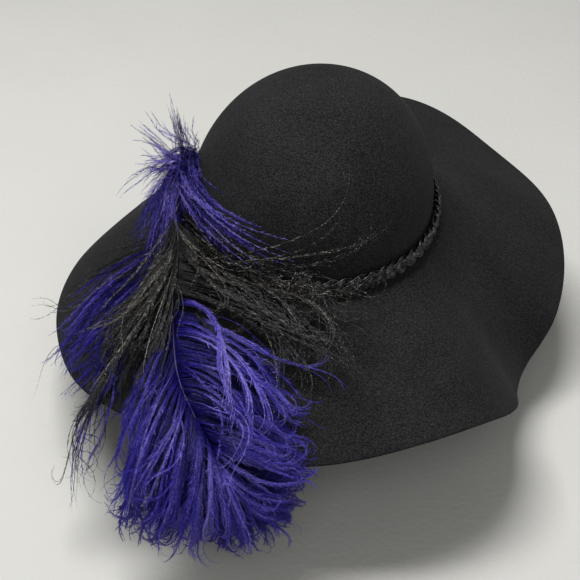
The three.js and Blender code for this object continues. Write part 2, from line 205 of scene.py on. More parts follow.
for lamp_name, lamp_place, target, sides, watts in LAMPS:
    lamp_data = bpy.data.lights.new(lamp_name, "AREA")
    lamp_data.shape = "RECTANGLE"
    lamp_data.size, lamp_data.size_y = sides
    lamp_data.energy = watts
    lamp = bpy.data.objects.new(lamp_name, lamp_data)
    lamp.location = lamp_place
    aim = np.array(target) - np.array(lamp_place)
    pitch = np.arctan2(aim[1], -aim[2])
    roll = -np.arctan2(aim[0], np.hypot(aim[1], aim[2]))
    lamp.rotation_euler = (pitch, roll, 0)
    scene.collection.objects.link(lamp)

table_finish = Finish("pale_table", {"Roughness": 0.85, "Specular IOR Level": 0.2})
table_cloud = table_finish.noise(0.09, 3.0)
table_paint = table_finish.paint(
    {
        "Base Color": table_finish.blend((0.54, 0.535, 0.51, 1), (0.57, 0.565, 0.54, 1), table_cloud),
        "Normal": table_finish.bump(table_finish.noise(0.004, 3.0), 0.0004),
    }
)
across, along = np.meshgrid(*[np.linspace(-TABLE_REACH, TABLE_REACH, TABLE_SQUARES + 1)] * 2)
table_points = np.stack([across, along, np.full_like(across, TABLE_LEVEL)], -1).reshape(-1, 3)
table_top = make_piece("table_top", table_points, [grid_faces(*across.shape)], table_paint)


# Felt. One hood of black wool felt, blocked into a round crown and a wide brim, 2 mm thick with a raw cut
# edge. The brim has been curled and handled, so it hangs in broad folds. Its nap is matt, with fine paler
# fibres.
FELT_THICKNESS = 0.002
CROWN_HALF_WIDTH = 0.084
CROWN_HALF_LENGTH = 0.100
CROWN_HEIGHT = 0.095
CROWN_WALL_POWER = 2.17
CROWN_TOP_POWER = 2.1
TIP_LEAN = np.array([0.009, -0.0045])
BREAK_RADIUS = 0.005
BRIM_WIDTH = 0.120
BRIM_CURL = 0.3
BRIM_FOLDS = np.array(
    [
        # azimuth, droop
        (20, 23),
        (45, 18),
        (70, 11),
        (92, 19),
        (118, 41),
        (142, 44),
        (165, 40),
        (190, 36),
        (212, 31),
        (240, 18),
        (266, 23),
        (290, 17),
        (303, 20),
        (315, 33),
        (326, 46),
        (338, 48),
        (352, 38),
    ],
    dtype=float,
)
HANG_SLOPE = radians(78)
HANG_TURN = 0.060
FELT_COLUMNS = 320
CROWN_ROWS = 44
BREAK_ROWS = 6
BRIM_ROWS = 52
EDGE_ROWS = 5
BRIM_RIPPLE = 0.0007
LEFT_FOLD_RISE = 0.004
LEFT_FOLDS = (
    # azimuth, reach in degrees, share of the rise
    (174, 9, 1.0),
    (197, 13, -1.2),
)
CROWN_DENTS = (
    # azimuth, height, depth, reach, in degrees and metres
    (282, 0.050, 0.0012, 0.022),
    (330, 0.070, 0.0008, 0.028),
    (225, 0.062, 0.0010, 0.030),
    (80, 0.055, 0.0010, 0.030),
)


def break_radius(azimuth):
    """Radius of the crown's oval at the break."""
    turn = np.radians(azimuth)
    return 1 / np.hypot(np.cos(turn) / CROWN_HALF_WIDTH, np.sin(turn) / CROWN_HALF_LENGTH)


def droop_at(azimuth):
    """Droop in radians: a closed cubic through the folds, whose steepness at each is the slope between its
    two neighbours."""
    at, droop = BRIM_FOLDS.T
    at = np.concatenate([at[-2:] - 360, at, at[:2] + 360])
    droop = np.concatenate([droop[-2:], droop, droop[:2]])
    steepness = np.gradient(droop)
    steepness[1:-1] = (droop[2:] - droop[:-2]) / (at[2:] - at[:-2])
    around = np.asarray(azimuth) % 360
    start = np.clip(np.searchsorted(at, around, side="right") - 1, 1, len(at) - 3)
    span = at[start + 1] - at[start]
    share = (around - at[start]) / span
    rise = share**2 * (3 - 2 * share)
    bend = (1 - share) * steepness[start] - share * steepness[start + 1]
    droop = droop[start] + (droop[start + 1] - droop[start]) * rise + share * (1 - share) * span * bend
    return np.radians(droop)


def brim_surface(azimuth, run):
    """Point and normal on the brim's top face, run metres out from the break: three stretches whose slope
    turns evenly, then a straight one. They are the turn at the break, the brim to its edge, and past it the
    surface that plumes hang over."""
    azimuth, run = np.broadcast_arrays(np.asarray(azimuth, float), np.asarray(run, float))
    droop = droop_at(azimuth)
    break_turn = droop * (1 - BRIM_CURL) - pi / 2
    break_length = BREAK_RADIUS * -break_turn
    radius, height, slope = break_radius(azimuth), np.zeros_like(run), np.full_like(run, pi / 2)
    left = run
    stretches = (
        (break_length, break_turn),
        (BRIM_WIDTH - break_length, 2 * BRIM_CURL * droop),
        (np.full_like(run, HANG_TURN), HANG_SLOPE - droop * (1 + BRIM_CURL)),
        (np.full_like(run, 10.0), np.zeros_like(run)),
    )
    for length, turn in stretches:
        part = np.clip(left, 0, length)
        half = turn * part / length / 2
        chord = part * np.sinc(half / pi)
        radius = radius + chord * np.cos(slope + half)
        height = height - chord * np.sin(slope + half)
        slope = slope + 2 * half
        left = left - part
    turn = np.radians(azimuth)
    point = np.stack([radius * np.cos(turn), radius * np.sin(turn), height], -1)
    normal = np.stack([np.sin(slope) * np.cos(turn), np.sin(slope) * np.sin(turn), np.cos(slope)], -1)
    return point, normal


def crown_wall(azimuth, height):
    """Point on the outside of the crown, and the level way straight out: an oval that shrinks with height
    as a superellipse, and leans."""
    azimuth, height = np.broadcast_arrays(np.asarray(azimuth, float), np.asarray(height, float))
    up = np.clip(height / CROWN_HEIGHT, 0, 1)
    share = (1 - up**CROWN_WALL_POWER) ** (1 / CROWN_TOP_POWER)
    turn = np.radians(azimuth)
    outward = np.stack([np.cos(turn), np.sin(turn), np.zeros_like(turn)], -1)
    point = outward * (break_radius(azimuth) * share)[..., None]
    point[..., :2] += up[..., None] * TIP_LEAN
    point[..., 2] = height
    return point, outward


def unit(vectors):
    return vectors / np.maximum(np.linalg.norm(vectors, axis=-1, keepdims=True), 1e-12)


def close_tube(rings, ends):
    """A tube through rings of points, closed by a fan of triangles about a point at each end."""
    rows, sides = rings.shape[:2]
    column = np.arange(sides)
    after = (column + 1) % sides
    last = (rows - 1) * sides
    first_fan = np.stack([np.full_like(column, rows * sides), after, column], -1)
    last_fan = np.stack([np.full_like(column, rows * sides + 1), last + column, last + after], -1)
    quads = grid_faces(rows, sides, closed_columns=True)
    return np.concatenate([rings.reshape(-1, 3), *ends]), [quads, first_fan, last_fan]


def felt_shell():
    """The felt's outer face on a grid of rows from the tip to the edge and azimuths round it, its inner face
    a thickness in along the normals, and a half-round edge between the two. Shallow dents push the crown in,
    two slow ripples run round the brim, and a ridge with a hollow beside it folds its left."""
    azimuth = np.arange(FELT_COLUMNS) * 360 / FELT_COLUMNS
    tilt = np.linspace(0, pi / 2, CROWN_ROWS + 1)[1:-1]
    height = CROWN_HEIGHT * np.cos(tilt) ** (2 / CROWN_WALL_POWER)
    crown, _ = crown_wall(azimuth[None, :], height[:, None])
    for dent_azimuth, dent_height, depth, reach in CROWN_DENTS:
        centre, outward = crown_wall(dent_azimuth, dent_height)
        away = np.linalg.norm(crown - centre, axis=-1) / reach
        crown -= depth * np.exp(-(away**2))[..., None] * outward
    run = np.concatenate(
        [
            np.linspace(0, BREAK_RADIUS * 1.5, BREAK_ROWS, endpoint=False),
            np.linspace(BREAK_RADIUS * 1.5, BRIM_WIDTH, BRIM_ROWS),
        ]
    )
    brim, brim_normal = brim_surface(azimuth[None, :], run[:, None])
    turn, out = np.radians(azimuth)[None, :], run[:, None] / BRIM_WIDTH
    ripple = np.sin(7 * turn + 5 * out + 1.3) * 0.6 + np.sin(11 * turn - 3 * out) * 0.4
    fold = sum(part * np.exp(-(((azimuth - middle) / reach) ** 2)) for middle, reach, part in LEFT_FOLDS)
    push = BRIM_RIPPLE * out**2 * ripple + LEFT_FOLD_RISE * fold * np.sin(pi * out**0.8)
    brim += brim_normal * push[..., None]
    outer = np.concatenate([crown, brim])
    tip = np.array([[*TIP_LEAN, CROWN_HEIGHT]])
    above = np.concatenate([np.broadcast_to(tip, outer[:1].shape), outer[:-1]])
    below = np.concatenate([outer[1:], outer[-1:]])
    beside = np.roll(outer, -1, axis=1) - np.roll(outer, 1, axis=1)
    normal = unit(np.cross(below - above, beside))
    inner = outer - normal * FELT_THICKNESS
    outward = unit(outer[-1] - outer[-2])
    swing = np.linspace(0, pi, EDGE_ROWS + 2)[1:-1, None, None]
    middle = (outer[-1] + inner[-1]) / 2
    edge = middle + FELT_THICKNESS / 2 * (np.cos(swing) * normal[-1] + np.sin(swing) * outward)
    rings = np.concatenate([outer, edge, inner[::-1]])
    points, faces = close_tube(rings, (tip, tip - [[0, 0, FELT_THICKNESS]]))
    return points, [corners[:, ::-1] for corners in faces]


felt = Finish(
    "black_wool_felt",
    {"Specular IOR Level": 0.15, "Sheen Weight": 0.03, "Sheen Roughness": 0.5},
)
felt_nap = felt.noise(0.0010, 2.0, 0.8)
felt_fuzz = felt.noise(0.0004, 1.0)
felt_shade = felt.noise(0.045, 2.0)
felt_fibre = 1 - felt.specks(0.0055).between(0.035, 0.08)
felt_tone = felt_nap * 0.72 + felt_fuzz * 0.16 + felt_shade * 0.12
felt_share = felt_tone.between(0.36, 0.70)
felt_ground = felt.blend((0.003, 0.003, 0.0035, 1), (0.042, 0.0425, 0.0445, 1), felt_share)
felt_paint = felt.paint(
    {
        "Base Color": felt.blend(felt_ground, (0.13, 0.13, 0.13, 1), felt_fibre * 0.6),
        "Roughness": 0.86 + felt_nap * 0.12,
        "Normal": felt.bump(felt_nap * 0.7 + felt_fuzz * 0.3, 0.0006),
    }
)
felt_points, felt_faces = felt_shell()
felt_hood = make_piece("felt_hood", felt_points, felt_faces, felt_paint)
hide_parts("felt_body")
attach(felt_hood, "root")


# Band. Three strands braided flat, each of five fine waxed cords laid side by side. It goes once round the
# crown at the break, and its ends meet under the plumes.
BAND_HALF_HEIGHT = 0.0065
BAND_HALF_THICKNESS = 0.003
BAND_LEVEL = 0.003
BAND_GAP = 0.0003
BRAID_REPEATS = 22
BRAID_UNEVEN = (
    # radians, waves round the band, offset
    (0.5, 5, 0),
    (0.35, 13, 1),
)
STRANDS = 3
STRAND_CORDS = 5
CORD_RADIUS = 0.00066
CORD_PITCH = 0.00115
CORD_CROWN = 0.0007
CORD_STEPS = BRAID_REPEATS * 20
CORD_SIDES = 7


def carry_round(path, across, away, radius, sides):
    """A round profile carried along each path: at every place a ring of sides points about it, in the plane
    of its across and away directions. The radius may differ from place to place and round each ring."""
    swing = 2 * pi * np.arange(sides) / sides
    ring = np.cos(swing)[:, None] * across[..., None, :] + np.sin(swing)[:, None] * away[..., None, :]
    return path[..., None, :] + ring * np.asarray(radius)[..., None]


def braid_cords():
    """Strand k swings across the band as sin(t + k/3 turn) and in and out as sin(2t + 2k/3 turn), so it
    passes over one neighbour and under the other. The pull is uneven, so t runs ahead and lags in two slow
    waves. The cords lie side by side across their strand's heading, the middle ones highest."""
    azimuth = np.arange(CORD_STEPS) * 360 / CORD_STEPS
    phase = 2 * pi * BRAID_REPEATS * np.arange(CORD_STEPS) / CORD_STEPS
    for uneven, waves, offset in BRAID_UNEVEN:
        phase = phase + uneven * np.sin(np.radians(azimuth) * waves + offset)
    lag = 2 * pi * np.arange(STRANDS)[:, None] / STRANDS
    strand_half = (STRAND_CORDS - 1) / 2 * CORD_PITCH + CORD_RADIUS
    swing = BAND_HALF_HEIGHT - strand_half * 0.92
    lift = BAND_HALF_THICKNESS - CORD_RADIUS - CORD_CROWN
    height = BAND_LEVEL + swing * np.sin(phase + lag)
    depth = BAND_GAP + BAND_HALF_THICKNESS + lift * np.sin(2 * (phase + lag))
    wall, outward = crown_wall(azimuth, height)
    path = wall + outward * depth[..., None]
    heading = unit(np.roll(path, -1, axis=1) - np.roll(path, 1, axis=1))
    across = unit(np.cross(outward, heading))
    away = np.cross(heading, across)
    place = np.arange(STRAND_CORDS) - (STRAND_CORDS - 1) / 2
    dome = CORD_CROWN * (1 - (place / place.max()) ** 2)
    cord = path[:, None] + across[:, None] * (place * CORD_PITCH)[:, None, None]
    cord = cord + away[:, None] * dome[:, None, None]
    rings = carry_round(cord, *np.broadcast_arrays(across[:, None], away[:, None]), CORD_RADIUS, CORD_SIDES)
    points = rings.reshape(-1, 3)
    one = grid_faces(CORD_STEPS, CORD_SIDES, closed_rows=True, closed_columns=True)[:, ::-1]
    shifts = np.arange(STRANDS * STRAND_CORDS) * CORD_STEPS * CORD_SIDES
    return points, [(one[None] + shifts[:, None, None]).reshape(-1, 4)]


braid = Finish("waxed_black_cord", {"Specular IOR Level": 0.7})
braid_fibre = braid.noise(0.0009, 2.0, 0.7)
braid_glint_noise = braid.noise(0.0028, 2.0, 0.6)
# bright flecks in the base colour: painted glints of light on the glossy cords
braid_painted_glints = (braid_fibre * 0.5 + braid_glint_noise * 0.5).between(0.51, 0.64)
braid_paint = braid.paint(
    {
        "Base Color": braid.blend((0.0015, 0.0015, 0.002, 1), (0.22, 0.22, 0.22, 1), braid_painted_glints),
        "Roughness": 0.2 + braid_fibre * 0.3,
        "Normal": braid.bump(braid_fibre, 0.0007),
    }
)
braid_points, braid_faces = braid_cords()
braided_cords = make_piece("braided_cords", braid_points, braid_faces, braid_paint)
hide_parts("braided_band")
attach(braided_cords, "root")


# Binding. The quills' ends lie together along the crown's left wall and are whipped with black thread,
# which also sews them to the felt. The tuft and the plumes' first barbs cover it.
BINDING_RADIUS = 0.0055
BINDING_AZIMUTHS = (180, 197)
BINDING_HEIGHTS = (0.43 * CROWN_HEIGHT, 0.35 * CROWN_HEIGHT)
BINDING_ROWS = 200
BINDING_COLUMNS = 36
THREAD_TURNS = 24
THREAD_RELIEF = 0.0004
BINDING_SHOULDER = 0.09


def beside_binding(share, distance):
    """Point at a share of the way along the binding's line and a distance from the crown's wall, and the
    way straight out."""
    azimuth = np.interp(share, (0, 1), BINDING_AZIMUTHS)
    height = np.interp(share, (0, 1), BINDING_HEIGHTS)
    wall, outward = crown_wall(azimuth, height)
    return wall + outward * np.asarray(distance)[..., None], outward


def headings(path):
    """Unit tangents along paths, from each place's two neighbours."""
    return unit(np.gradient(path, axis=-2))


def whipped_tube():
    """A tube along the binding's line. A thread winds round it, so its radius is a row of half-round ridges
    that climb one pitch in each turn, and its ends round off as a quarter circle."""
    share = np.linspace(0, 1, BINDING_ROWS)
    path, outward = beside_binding(share, np.full_like(share, BINDING_RADIUS + BAND_GAP))
    ahead = headings(path)
    across = unit(np.cross(outward, ahead))
    away = np.cross(ahead, across)
    swing = 2 * pi * np.arange(BINDING_COLUMNS) / BINDING_COLUMNS
    winding = THREAD_TURNS * share[:, None] - swing / (2 * pi)
    ridge = np.abs(np.sin(pi * winding)) - 1
    to_end = np.minimum(share, 1 - share) / BINDING_SHOULDER
    rounded = np.sqrt(np.clip(1 - (1 - np.clip(to_end, 0, 1)) ** 2, 0, 1))[:, None]
    radius = (BINDING_RADIUS + THREAD_RELIEF * ridge) * rounded
    rings = carry_round(path, across, away, radius, BINDING_COLUMNS)
    return close_tube(rings[1:-1], (path[:1], path[-1:]))


thread = Finish("black_thread", {"Specular IOR Level": 0.4})
thread_fibre = thread.noise(0.0005, 2.0)
thread_paint = thread.paint(
    {
        "Base Color": thread.blend((0.006, 0.006, 0.007, 1), (0.03, 0.03, 0.033, 1), thread_fibre),
        "Roughness": 0.5 + thread_fibre * 0.3,
        "Normal": thread.bump(thread_fibre, 0.0002),
    }
)
binding_points, binding_faces = whipped_tube()
whipped_binding = make_piece("whipped_binding", binding_points, binding_faces, thread_paint)
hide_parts("stem_binding")
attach(whipped_binding, "root")


# Plumes. Three dyed ostrich feathers sweep down over the brim from the binding: a side one of violet and
# black, a large violet one, and a black one over them that also spreads along the crown's wall. Each barb is
# a flat stalk fringed with fine barbules. Barbs cling together in locks that part and curl at the ends.
PLUME_RISE = 0.030
PLUME_REACH = 0.130
SKIN = 0.0012
STALK_HALF_WIDTH = 0.00016
BARB_STEPS = 84
HOOK_FROM = 0.78
LOCK_GATHER = {"start": 0.25, "full": 0.75, "parting": 0.9, "part_from": 0.62}
STRAND_GATHER = {"start": 0.04, "full": 0.42, "parting": 0.32, "part_from": 0.55}
rng = np.random.default_rng(7)


def through_rows(rows, along):
    """Points and steps on a smooth curve through rows: a cubic whose steepness at each row is half the step
    between its two neighbours. Along runs from 0 at the first row to 1 at the last."""
    rows = np.asarray(rows, float)
    padded = np.vstack([2 * rows[0] - rows[1], rows, 2 * rows[-1] - rows[-2]])
    place = np.clip(np.asarray(along, float), 0, 1) * (len(rows) - 1)
    start = np.clip(place.astype(int), 0, len(rows) - 2)
    share = (place - start)[:, None]
    before, first, second, after = (padded[start + step] for step in range(4))
    leave, arrive = (second - before) / 2, (after - first) / 2
    point = (
        (2 * share**3 - 3 * share**2 + 1) * first
        + (share**3 - 2 * share**2 + share) * leave
        + (3 * share**2 - 2 * share**3) * second
        + (share**3 - share**2) * arrive
    )
    step = (
        (6 * share**2 - 6 * share) * (first - second)
        + (3 * share**2 - 4 * share + 1) * leave
        + (3 * share**2 - 2 * share) * arrive
    )
    return point, step


def over_hat(azimuth, run, lift):
    """Point lift metres off the felt, run metres out from the break, or up the crown's wall where run is
    negative, and the normal of the felt there."""
    point, normal = brim_surface(azimuth, np.maximum(run, 0))
    wall, outward = crown_wall(azimuth, np.maximum(-run, 0))
    on_wall = (run < 0)[..., None]
    point, normal = np.where(on_wall, wall, point), np.where(on_wall, outward, normal)
    return point + normal * lift[..., None], normal


def barb_paths(root, heading, form):
    """Paths of barbs over the hat. root holds azimuth, run and lift, and heading the quill's own direction
    from straight out towards growing azimuths, in degrees. A barb heads side * (leave - turn * share^late)
    degrees off the quill's own direction, less a curl and a hook that grow with the square of the way gone
    since each begins, and a wave that grows with share. It climbs or sinks to its layer, arched."""
    share = np.linspace(0, 1, BARB_STEPS)
    column = {name: np.asarray(values, float)[:, None] for name, values in form.items()}
    curled = np.clip((share - column["curl_from"]) / (1 - column["curl_from"]), 0, 1) ** 2
    hooked = np.clip((share - HOOK_FROM) / (1 - HOOK_FROM), 0, 1) ** 2
    waving = np.sin(2 * pi * (share * column["waves"] + column["wave_start"])) * share
    angle = heading[:, None] + column["side"] * (column["leave"] - column["turn"] * share ** column["late"])
    angle = angle - column["curl"] * curled
    angle = angle - column["hook"] * hooked
    angle = angle + column["wave"] * waving
    turn = np.radians(angle)
    stride = column["length"] / (BARB_STEPS - 1)
    run = root[:, 1:2] + np.cumsum(stride * np.cos(turn), axis=1) - stride * np.cos(turn[:, :1])
    azimuth = np.broadcast_to(root[:, :1], run.shape)
    for _ in range(3):
        flat, _ = brim_surface(azimuth, np.maximum(run, 0))
        radius = np.hypot(flat[..., 0], flat[..., 1])
        azimuth = root[:, :1] + np.degrees(np.cumsum(stride * np.sin(turn) / radius, axis=1))
    lift = root[:, 2:3] + (column["layer"] - root[:, 2:3]) * share * (2 - share)
    lift = lift + column["arch"] * np.sin(pi * share**0.8) + column["splay"] * share**2
    lift = np.maximum(lift, SKIN)
    return over_hat(azimuth, run, lift)


def gather(path, group, strength, start, full, parting, part_from):
    """Draws barbs towards the middle line of the group they belong to, from nothing at start to strength at
    full, and lets them part again by the share parting between part_from and their tips."""
    first = np.flatnonzero(np.r_[True, group[1:] != group[:-1]])
    counts = np.diff(np.r_[first, len(group)])
    middle = np.add.reduceat(path, first, axis=0) / counts[:, None, None]
    along = np.linspace(0, 1, BARB_STEPS)
    share = np.clip((along - start) / (full - start), 0, 1)
    parted = 1 - parting * np.clip((along - part_from) / (1 - part_from), 0, 1)
    pull = (strength[:, None] * share * (2 - share) * parted)[..., None]
    return path + pull * (np.repeat(middle, counts, axis=0) - path)


def fringe(path, normal, reach, spread, roll, fleck, tone, rng):
    """A mesh of barbs. Each is a flat stalk along its path, and from every stretch of either edge of the
    stalk a barbule runs out to one point, reach long, leaning out from the barb's heading by spread degrees
    and rolled out of the vane by about roll radians. It carries each point's tone, which varies by fleck
    between barbules, its place along the barb and barbule, and a map that gives every barb its own strip."""
    count, steps = path.shape[:2]
    ahead = headings(path)
    across = unit(np.cross(ahead, normal))
    away = np.cross(across, ahead)
    share = np.linspace(0, 1, steps)
    half = STALK_HALF_WIDTH * (1.15 - share)[:, None]
    edges = np.stack([path - across * half, path + across * half], 2)
    middle = (path[:, :-1] + path[:, 1:]) / 2
    size = (count, steps - 1, 2)
    lean = np.radians(spread[:, None, None] * rng.uniform(0.5, 1.5, size) + 25 * (rng.random(size) < 0.02))
    turned = rng.normal(0, 1, size) * roll[:, None, None]
    side = np.array([-1.0, 1.0])
    forward, sideways, outward = (x[:, :-1, None] for x in (ahead, across, away))
    way = np.cos(lean)[..., None] * forward + np.sin(lean)[..., None] * (
        side[:, None] * np.cos(turned)[..., None] * sideways + np.sin(turned)[..., None] * outward
    )
    grown = np.clip(share[:-1] / 0.2, 0.3, 1) * np.clip((1.05 - share[:-1]) / 0.4, 0.1, 1)
    long = reach[:, None, None] * grown[:, None] * rng.uniform(0.6, 1.1, size)
    tips = middle[:, :, None] + way * long[..., None]
    points = np.concatenate([edges.reshape(-1, 3), tips.reshape(-1, 3)])
    barb = np.arange(count)[:, None, None]
    step = np.arange(steps - 1)[None, :, None]
    edge = np.arange(2)[None, None, :]
    here = (barb * steps + step) * 2 + edge
    ahead_of = here + 2
    tip = count * steps * 2 + (barb * (steps - 1) + step) * 2 + edge
    stalk = np.stack([here[..., 0], here[..., 1], ahead_of[..., 1], ahead_of[..., 0]], -1)
    left = np.stack([here[..., 0], ahead_of[..., 0], tip[..., 0]], -1).reshape(-1, 3)
    right = np.stack([here[..., 1], tip[..., 1], ahead_of[..., 1]], -1).reshape(-1, 3)
    whole = np.ones((count, steps, 2))
    part = np.ones(size)
    own = np.clip(tone[:, None, None] + rng.normal(0, 1, size) * fleck[:, None, None], 0, 1)
    tones = np.concatenate([(whole * tone[:, None, None]).ravel(), own.ravel()])
    alongs = np.concatenate([(whole * share[:, None]).ravel(), (part * share[:-1, None]).ravel()])
    fringes = np.concatenate([np.zeros(whole.size), np.ones(part.size)])
    strip = 1 / count
    low_high = np.array([-0.2, 0.2])
    edge_v = (np.arange(count)[:, None, None] + 0.5 + low_high * whole) * strip
    tip_v = (np.arange(count)[:, None, None] + 0.5 + 2.2 * low_high * part) * strip
    flat_u = np.concatenate([alongs[: whole.size], (part * (share[:-1, None] + 0.5 / (steps - 1))).ravel()])
    flat_v = np.concatenate([edge_v.ravel(), tip_v.ravel()])
    numbers = {"tone": tones, "along": alongs, "fringe": fringes}
    return points, [stalk.reshape(-1, 4), left, right], numbers, (flat_u, flat_v)


def make_barbs(name, parts, material):
    """One piece from a comb of barbs, with its numbers at each point and the map that its bake uses."""
    points, faces, numbers, flat = parts
    piece = make_piece(name, points, faces, material, smooth=False)
    for key, values in numbers.items():
        layer = piece.data.attributes.new(key, "FLOAT", "POINT")
        layer.data.foreach_set("value", values.astype(np.float32))
    corner = np.concatenate([rows.ravel() for rows in faces])
    strips = piece.data.uv_layers.new(name="OFBake")
    places = np.stack([values[corner] for values in flat], -1)
    strips.uv.foreach_set("vector", places.astype(np.float32).ravel())
    return piece


def runs_of(count, smallest, largest, rng):
    """The group that each of a row of barbs belongs to: runs of neighbours of random size."""
    sizes = rng.integers(smallest, largest + 1, count)
    return np.repeat(np.arange(count), sizes)[:count]


def feather_finish(name, deep, full, end, pale, highlight_thresholds, constants):
    """Dyed barbs: deep near the quill and on low-toned strands as painted shade, full on other strands,
    nearer to the colour end along their last half, and pale on some strands and along the barbules' ends as
    painted highlights and glints."""
    finish = Finish(name, constants)
    tone, along, tip = (finish.attribute(key) for key in ("tone", "along", "fringe"))
    fleck = finish.noise(0.0011, 2.0, 0.7)
    drift = finish.noise(0.012, 2.0)
    # deep where along and tone are low: painted shade near the quill and in the lower locks
    body = finish.blend(deep, full, (along * 0.45 + drift * 0.35 + tone * 0.6).between(0.38, 1.05))
    worn = finish.blend(body, end, along.between(0.5, 1.0) * 0.7)
    # painted highlight: pale where tone, fleck noise and barbule ends are high, for light on the crests and
    # glints
    painted_highlight = (tone * 0.55 + fleck * 0.5 + tip * 0.1).between(*highlight_thresholds) * along.between(0.02, 0.34)
    return finish.paint(
        {
            "Base Color": finish.blend(worn, pale, painted_highlight),
            "Roughness": 0.36 + fleck * 0.2,
        }
    )


def quill_rows(plume):
    """The rows of a plume's quill as azimuth in degrees, and run and lift in metres."""
    return np.array(plume["quill"]) * (1, BRIM_WIDTH, PLUME_RISE)


def comb(plume, side, count, stretch, rng):
    """One vane of a plume: barbs from the quill's left or right, each with its form read between the vane's
    rows. A few neighbours cling together as a strand, and a few strands fall together as a lock, and each
    strand and lock has changes that its barbs share. They crowd towards the quill's tip."""
    order = np.clip(np.linspace(0, 1, count) + rng.normal(0, 0.15 / count, count), 0, 1)
    along = stretch[0] + (stretch[1] - stretch[0]) * (1 - (1 - order) ** plume["crowding"])
    root, step = through_rows(quill_rows(plume), along)
    sideways = np.radians(step[:, 0]) * (break_radius(root[:, 0]) + root[:, 1])
    heading = np.degrees(np.arctan2(sideways, step[:, 1]))
    vane = np.array(plume[side])
    length, leave, turn = (np.interp(along, vane[:, 0], vane[:, column]) for column in (1, 2, 3))
    strand = runs_of(count, *plume["strand"], rng)
    lock = runs_of(strand.max() + 1, *plume["lock"], rng)[strand]

    def by_strand(deviation):
        return rng.normal(0, deviation, strand.max() + 1)[strand]

    def by_lock(deviation):
        return rng.normal(0, deviation, lock.max() + 1)[lock]

    def lock_between(low, high):
        return rng.uniform(low, high, lock.max() + 1)[lock]

    def strand_between(low, high):
        return rng.uniform(low, high, strand.max() + 1)[strand]

    def by_barb(deviation):
        return rng.normal(0, deviation, count)

    stray = rng.random(count) < plume["loose"]
    bend = lock_between(0, 1)
    own_size = rng.uniform(0.86, 1, count)
    depth, splay, hook = plume["depth"], plume["splay"], plume["hook"]
    layer = plume["layer"] * PLUME_RISE
    form = {
        "side": np.full(count, 1.0 if side == "right" else -1.0),
        "leave": leave + by_lock(3) + by_strand(2) + by_barb(1),
        "turn": turn * (1 + by_lock(0.18) + by_strand(0.07)) + by_barb(2) + stray * by_barb(25),
        "late": plume["late"][0] * (1 - bend) + plume["late"][1] * bend,
        "curl": by_lock(plume["curl"]) + by_strand(plume["curl"]) + stray * by_barb(60),
        "curl_from": lock_between(0.5, 0.8),
        "hook": by_strand(hook) + by_barb(hook * 0.3),
        "wave": (by_lock(6) + by_strand(6) + by_barb(3)) * plume["wave"],
        "waves": strand_between(0.6, 1.8),
        "wave_start": strand_between(0, 1),
        "length": length * PLUME_REACH * lock_between(0.84, 1.05) * strand_between(0.8, 1.06) * own_size,
        "layer": layer + (1 - 1.5 * bend) * depth + by_strand(depth * 0.3) + by_barb(0.0004),
        "arch": (1.1 - bend) * plume["arch"],
        "splay": by_lock(splay) + by_strand(splay * 0.7) + by_barb(splay * 0.3),
    }
    path, normal = barb_paths(root, heading, form)
    path = gather(path, lock, np.where(stray, 0.1, lock_between(0.2, 0.55)), **LOCK_GATHER)
    path = gather(path, strand, np.where(stray, 0.3, strand_between(0.65, 0.92)), **STRAND_GATHER)
    # locks that lie lower (larger bend) get a darker tone and higher ones a lighter one: painted shade and
    # light by layer
    tone = (1 - bend) * 0.3 + lock_between(0, 0.08) + strand_between(0, 0.2)
    tone = tone + rng.uniform(-0.04, 0.34, count)
    if side == "right":
        tone = tone + plume["first"] * np.clip(1 - along / 0.4, 0, 1)
    # a shade below 1 darkens the tone; for the layer under the vanes this is painted shade
    tone = np.clip(tone, 0, 1) * plume["shade"]
    reach = plume["barbule"] * rng.uniform(0.8, 1.2, count)
    same = np.ones(count)
    return path, normal, reach, plume["spread"] * same, plume["roll"] * same, plume["fleck"] * same, tone


def join(*vanes):
    return [np.concatenate(parts) for parts in zip(*vanes)]


SIDE_PLUME = {
    # azimuth, share of the brim's width out, share of the rise up
    "quill": (
        (206, 0.14, 0.45),
        (213, 0.26, 0.36),
        (219, 0.37, 0.3),
        (223.5, 0.5, 0.24),
        (226.5, 0.65, 0.2),
        (228, 0.775, 0.18),
    ),
    # share along the quill, length as a share of the reach, angle it leaves at, turn back
    "left": (
        (0, 0.48, 76, -10),
        (0.1, 0.8, 64, 12),
        (0.21, 0.82, 44, -16),
        (0.31, 0.8, 20, -52),
        (0.4, 0.7, 6, -58),
        (0.6, 0.6, 2, -22),
        (0.8, 0.5, -12, -17),
        (1, 0.44, -10, -10),
    ),
    "right": (
        (0, 0.6, 10, 35),
        (0.21, 0.68, 9, 36),
        (0.4, 0.68, 8, 28),
        (0.68, 0.56, 18, 26),
        (1, 0.44, 5, 10),
    ),
    # how the barbs crowd to the tip, barbs in a strand, strands in a lock, share of stray barbs
    "crowding": 1.2,
    "strand": (2, 4),
    "lock": (2, 5),
    "loose": 0.08,
    # strength of the tone, which the under layer lowers as painted shade, and what the right vane's first
    # barbs gain
    "shade": 0.8,
    "first": 0.0,
    # how late the turn comes in the top and the lowest locks, then the size of waves, curls and hooks
    "late": (0.8, 1.5),
    "wave": 3.0,
    "curl": 25,
    "hook": 60,
    # lift as a share of the rise, then spread of the locks' lifts, arch and lift at the tips in metres
    "layer": 0.14,
    "depth": 0.003,
    "arch": 0.004,
    "splay": 0.004,
    # the barbules' length, lean in degrees, roll in radians and change of tone, which also scatters the
    # painted glints
    "barbule": 0.0055,
    "spread": 11,
    "roll": 0.7,
    "fleck": 0.3,
}
